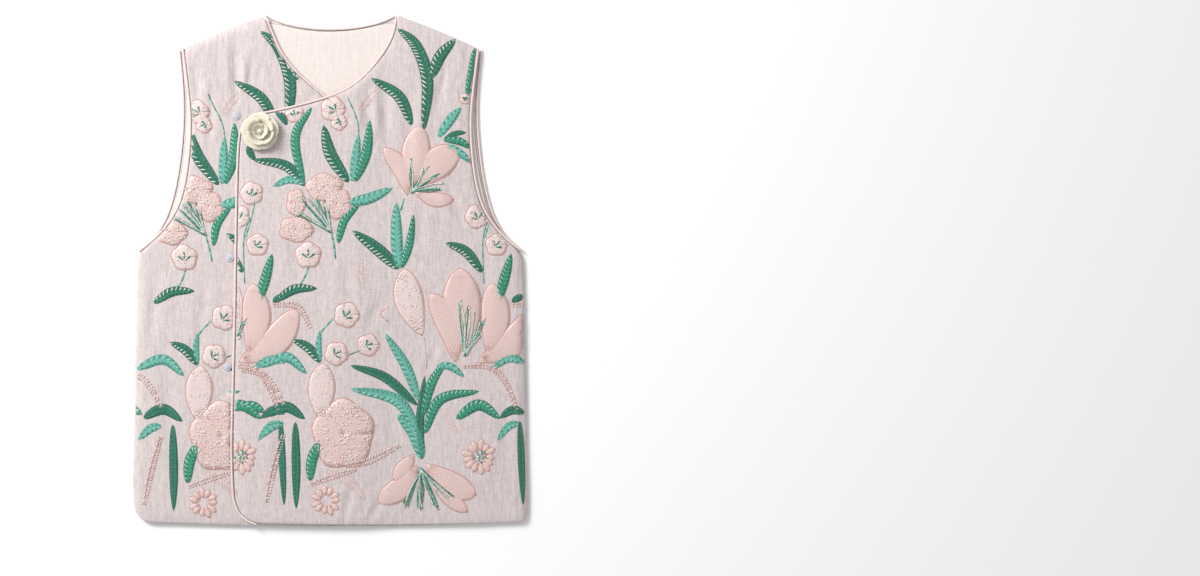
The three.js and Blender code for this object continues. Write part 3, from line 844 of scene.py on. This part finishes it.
silk_tree.links.new(silk_twist.outputs["Fac"], silk_bump.inputs["Height"])
silk_tree.links.new(silk_bump.outputs["Normal"], silk_shader.inputs["Normal"])


def cloth_height(spot, panel):
    """Height of a panel's right side at a spot, or None off its edge or under the overlap."""
    x, y = spot
    if panel["cover"] and panel["cover"].ray_cast((x, y, HIGH), (0, 0, -1))[0]:
        return None
    hit = panel["tree"].ray_cast((x, y, HIGH * panel["up"]), (0, 0, -panel["up"]))[0]
    return hit.z if hit else None


def build_mesh(name, points, faces, dyes):
    mesh = bpy.data.meshes.new(name)
    mesh.from_pydata(points, [], faces)
    layer = mesh.color_attributes.new("dye", "FLOAT_COLOR", "POINT")
    layer.data.foreach_set("color", np.column_stack([np.array(dyes), np.ones(len(dyes))]).ravel())
    mesh.shade_smooth()
    work = bpy.data.objects.new(name, mesh)
    bpy.context.collection.objects.link(work)
    mesh.materials.append(silk)
    return work


STITCH_FACES = [(0, 2, 1), (0, 3, 2), (0, 1, 3), (1, 2, 5, 4), (2, 3, 6, 5), (3, 1, 4, 6),
                (7, 4, 5), (7, 5, 6), (7, 6, 4)]
STITCH_RINGS = (0.25, 0.75)
STITCH_SINK = 0.12
SHORTEST_STITCH = 0.4 * MM
KNOT_SIDES = 5
KNOT_TOP = 1 + 2 * KNOT_SIDES
KNOT_SINK = 0.1
GROUND_LIFT = 0.05
GROUND_SINK = 0.3
PANEL_REACH = 0.31


def work_design(name, family, panel):
    """Works one thread family of the design on a panel, as one joined mesh."""
    points, faces, dyes = [], [], []
    up = panel["up"]
    relief = panel["relief"]

    def add(new_points, new_faces, colour):
        start = len(points)
        points.extend(new_points)
        flip = up < 0
        for face in new_faces:
            corners = [start + c for c in face]
            faces.append(tuple(reversed(corners)) if flip else tuple(corners))
        dyes.extend([colour] * len(new_points))

    for place in panel["places"]:
        for x0, y0, x1, y1, width, height, lift, *colour in stitches[family]:
            a, b = place(x0, y0), place(x1, y1)
            if not (panel["low"] < a[0] < panel["high"] and abs(a[1]) < PANEL_REACH):
                continue
            middle = ((a[0] + b[0]) / 2, (a[1] + b[1]) / 2)
            za, zm, zb = cloth_height(a, panel), cloth_height(middle, panel), cloth_height(b, panel)
            if za is None or zm is None or zb is None:
                continue
            run = Vector((b[0] - a[0], b[1] - a[1]))
            if run.length < SHORTEST_STITCH:
                continue
            side = Vector((-run.y, run.x)).normalized() * width * MM / 2 * up
            base = up * (lift * relief - STITCH_SINK) * MM
            top = base + up * height * relief * MM
            tone = random.uniform(0.85, 1.15)
            ring = []
            for t in STITCH_RINGS:
                x, y = a[0] + run.x * t, a[1] + run.y * t
                z = (za if t < 0.5 else zb) * 0.5 + zm * 0.5
                ring += [
                    (x + side.x, y + side.y, z + base),
                    (x, y, z + top),
                    (x - side.x, y - side.y, z + base),
                ]
            add([(*a, za + base), *ring, (*b, zb + base)], STITCH_FACES, [c * tone for c in colour])
        for x0, y0, radius, lift, *colour in knots[family]:
            x, y = place(x0, y0)
            if not (panel["low"] < x < panel["high"] and abs(y) < PANEL_REACH):
                continue
            z = cloth_height((x, y), panel)
            if z is None:
                continue
            r = radius * MM
            base = z + up * (lift * relief - KNOT_SINK) * MM
            new = [(x, y, base)]
            for share, level in ((1.0, 0.15), (0.8, 0.75)):
                for k in range(KNOT_SIDES):
                    turn = 2 * math.pi * k / KNOT_SIDES * up
                    new.append((x + r * share * math.cos(turn), y + r * share * math.sin(turn),
                                base + up * level * r * relief))
            new.append((x, y, base + up * 1.05 * r * relief))
            shell = []
            for k in range(KNOT_SIDES):
                n = (k + 1) % KNOT_SIDES
                low, low_next, high, high_next = 1 + k, 1 + n, 1 + KNOT_SIDES + k, 1 + KNOT_SIDES + n
                shell += [(0, low_next, low), (low, low_next, high_next, high), (high, high_next, KNOT_TOP)]
            add(new, shell, colour)
        for grid, heights, colour in patches[family]:
            rows, columns = heights.shape
            spots = [[place(*grid[i][j]) for j in range(columns)] for i in range(rows)]
            if not any(panel["low"] < spots[i][j][0] < panel["high"] for i in (0, -1) for j in (0, -1)):
                continue
            level = [[cloth_height(spot, panel) for spot in row] for row in spots]
            number, new = {}, []
            for i in range(rows):
                for j in range(columns):
                    if level[i][j] is None:
                        continue
                    x, y = spots[i][j]
                    number[i, j] = len(new)
                    new.append((x, y, level[i][j] + up * (heights[i][j] * relief + GROUND_LIFT) * MM))
                    new.append((x, y, level[i][j] - up * GROUND_SINK * MM))
            cells = [[(i, j), (i, j + 1), (i + 1, j + 1), (i + 1, j)]
                     for i in range(rows - 1) for j in range(columns - 1)]
            cells = [cell for cell in cells if all(corner in number for corner in cell)]
            if not cells:
                continue
            a, b, c, d = (Vector(new[number[corner]][:2]) for corner in cells[len(cells) // 2])
            if ((b - a).cross(d - a) < 0) == (up > 0):
                cells = [cell[::-1] for cell in cells]
            border = {}
            shell = []
            for cell in cells:
                top = [number[corner] for corner in cell]
                shell.append(tuple(top))
                shell.append(tuple(t + 1 for t in reversed(top)))
                for p, q in zip(cell, cell[1:] + cell[:1]):
                    if (q, p) in border:
                        del border[q, p]
                    else:
                        border[p, q] = True
            for p, q in border:
                shell.append((number[q], number[p], number[p] + 1, number[q] + 1))
            used = {corner for cell in cells for corner in cell}
            keep = sorted(number[c] + k for c in used for k in (0, 1))
            renumber = {old: fresh for fresh, old in enumerate(keep)}
            start = len(points)
            points.extend(new[k] for k in keep)
            faces.extend(tuple(start + renumber[v] for v in face) for face in shell)
            dyes.extend([colour] * len(keep))
    work = build_mesh(name, points, faces, dyes)
    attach(work, "root")
    return work


REPEAT_FRONT = 279
REPEAT_BACK = 289
BACK_SHIFT = 32


def stamp(shift):
    return lambda x, y: ((x + shift) * MM, y * MM)


def underlap_stamp(x, y):
    """The underlap was cut one step along the cloth, a little off the straight grain."""
    lean = min(max(y / 200, 0), 1)
    return (x - 143 - 17 * lean) * MM, (y - 3) * MM


def back_stamp(shift):
    return lambda x, y: (-(x + BACK_SHIFT + shift) * MM, y * MM)


WORKED_PANELS = {
    "front_left": dict(tree=OVERLAP_TREE, cover=None, up=1, relief=1.0, low=-0.12, high=0.235,
                       places=[stamp(0), stamp(-REPEAT_FRONT)]),
    "front_right": dict(tree=UNDERLAP_TREE, cover=OVERLAP_TREE, up=1, relief=1.0, low=-0.235, high=0.01,
                        places=[underlap_stamp]),
    "back": dict(tree=BACK_TREE, cover=None, up=-1, relief=0.55, low=-0.235, high=0.235,
                 places=[back_stamp(0), back_stamp(-REPEAT_BACK)]),
}
for panel_name, worked in WORKED_PANELS.items():
    for thread_family in FAMILIES:
        work_design(f"{thread_family}_embroidery_{panel_name}", thread_family, worked)

# ---------------------------------------------------------------- Rose button
# Folded petals of cream cotton sewn in rings round a tight bud.

rose_cotton = new_cloth(
    "rose_cotton", (0.72, 0.68, 0.57), (0.65, 0.60, 0.47), crinkle_strength=0.1, weave_strength=0.2, sheen=0.3
)
for node in sorted(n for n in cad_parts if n.startswith("rose_")):
    part = smoothed_copy(node, node + "_cotton", 2)
    part.data.materials.append(rose_cotton)
    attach(part, "root")
    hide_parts(node)

# ---------------------------------------------------------------- Snaps
# Clear plastic snap halves, peeping out beside the front edge.

clear_plastic = bpy.data.materials.new("clear_plastic")
clear_plastic.use_nodes = True
plastic_shader = clear_plastic.node_tree.nodes["Principled BSDF"]
plastic_shader.inputs["Base Color"].default_value = (0.86, 0.86, 0.95, 1)
plastic_shader.inputs["Roughness"].default_value = 0.15
plastic_shader.inputs["Transmission Weight"].default_value = 0.5
for node in ("snap_top", "snap_middle", "snap_bottom"):
    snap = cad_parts[node]
    snap.data.materials.clear()
    snap.data.materials.append(clear_plastic)

# ---------------------------------------------------------------- Light
# One large soft light from the upper left and a bright even room.

world = bpy.data.worlds.new("bright_room")
world.use_nodes = True
world.node_tree.nodes["Background"].inputs["Color"].default_value = (1, 1, 1, 1)
world.node_tree.nodes["Background"].inputs["Strength"].default_value = 0.6
bpy.context.scene.world = world
bpy.context.scene.view_settings.view_transform = "Standard"

key_data = bpy.data.lights.new("window", "AREA")
key_data.size = 1.0
key_data.energy = 75
key = bpy.data.objects.new("window", key_data)
key.location = (-1.6, 1.3, 1.5)
key.rotation_euler = Vector((1.6, -1.3, -1.5)).to_track_quat("-Z", "Y").to_euler()
bpy.context.collection.objects.link(key)
